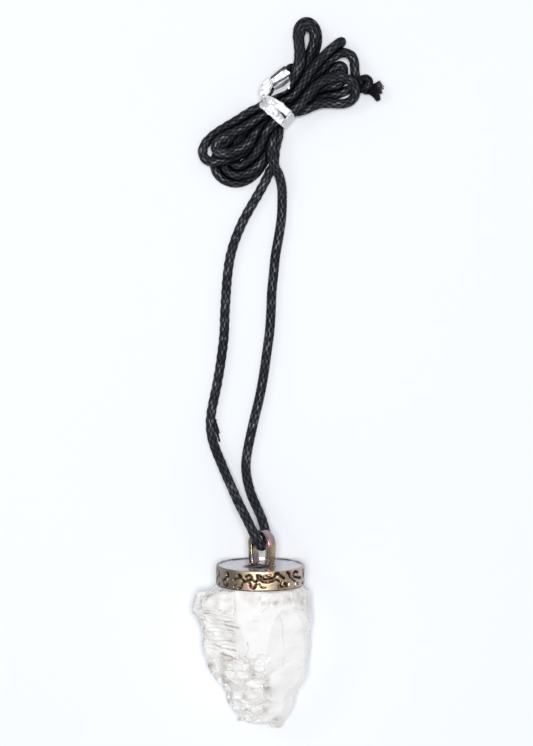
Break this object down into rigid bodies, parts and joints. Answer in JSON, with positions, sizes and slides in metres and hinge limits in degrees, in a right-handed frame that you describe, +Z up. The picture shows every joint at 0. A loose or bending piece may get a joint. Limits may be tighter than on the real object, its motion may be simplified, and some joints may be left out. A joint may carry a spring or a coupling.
{
  "type": "quartz crystal necklace",
  "caption": "Pendant of rough clear quartz in a round ornamented metal cap with a bail, on a long black waxed cord that is folded into a bundle and tied with a foil strip",
  "frame": {"origin": "middle of the pendant's box (crystal and cap), on the surface that it lies on", "axes": "+Z up from the surface; +Y along the pendant from its tip through its cap and bail to the folded cord; +X to the right, seen from above"},
  "size_m": [0.0425, 0.1582, 0.0199],
  "materials": {
    "quartz": "rough clear to milky quartz, broken faces with fine growth lines",
    "oxidised_brass": "oxidised, dark in the recesses, worn bright on the relief",
    "waxed_cord": "braided cotton with a thin coat of wax",
    "tie_foil": "thin bright foil strip, creased"
  },
  "bodies": {
    "root": {"quartz_crystal": "quartz", "cap_with_bail": "oxidised_brass", "cord_run": "waxed_cord", "cord_hank": "waxed_cord", "tie_strip": "tie_foil", "end_knot": "waxed_cord"}
  },
  "joints": []
}
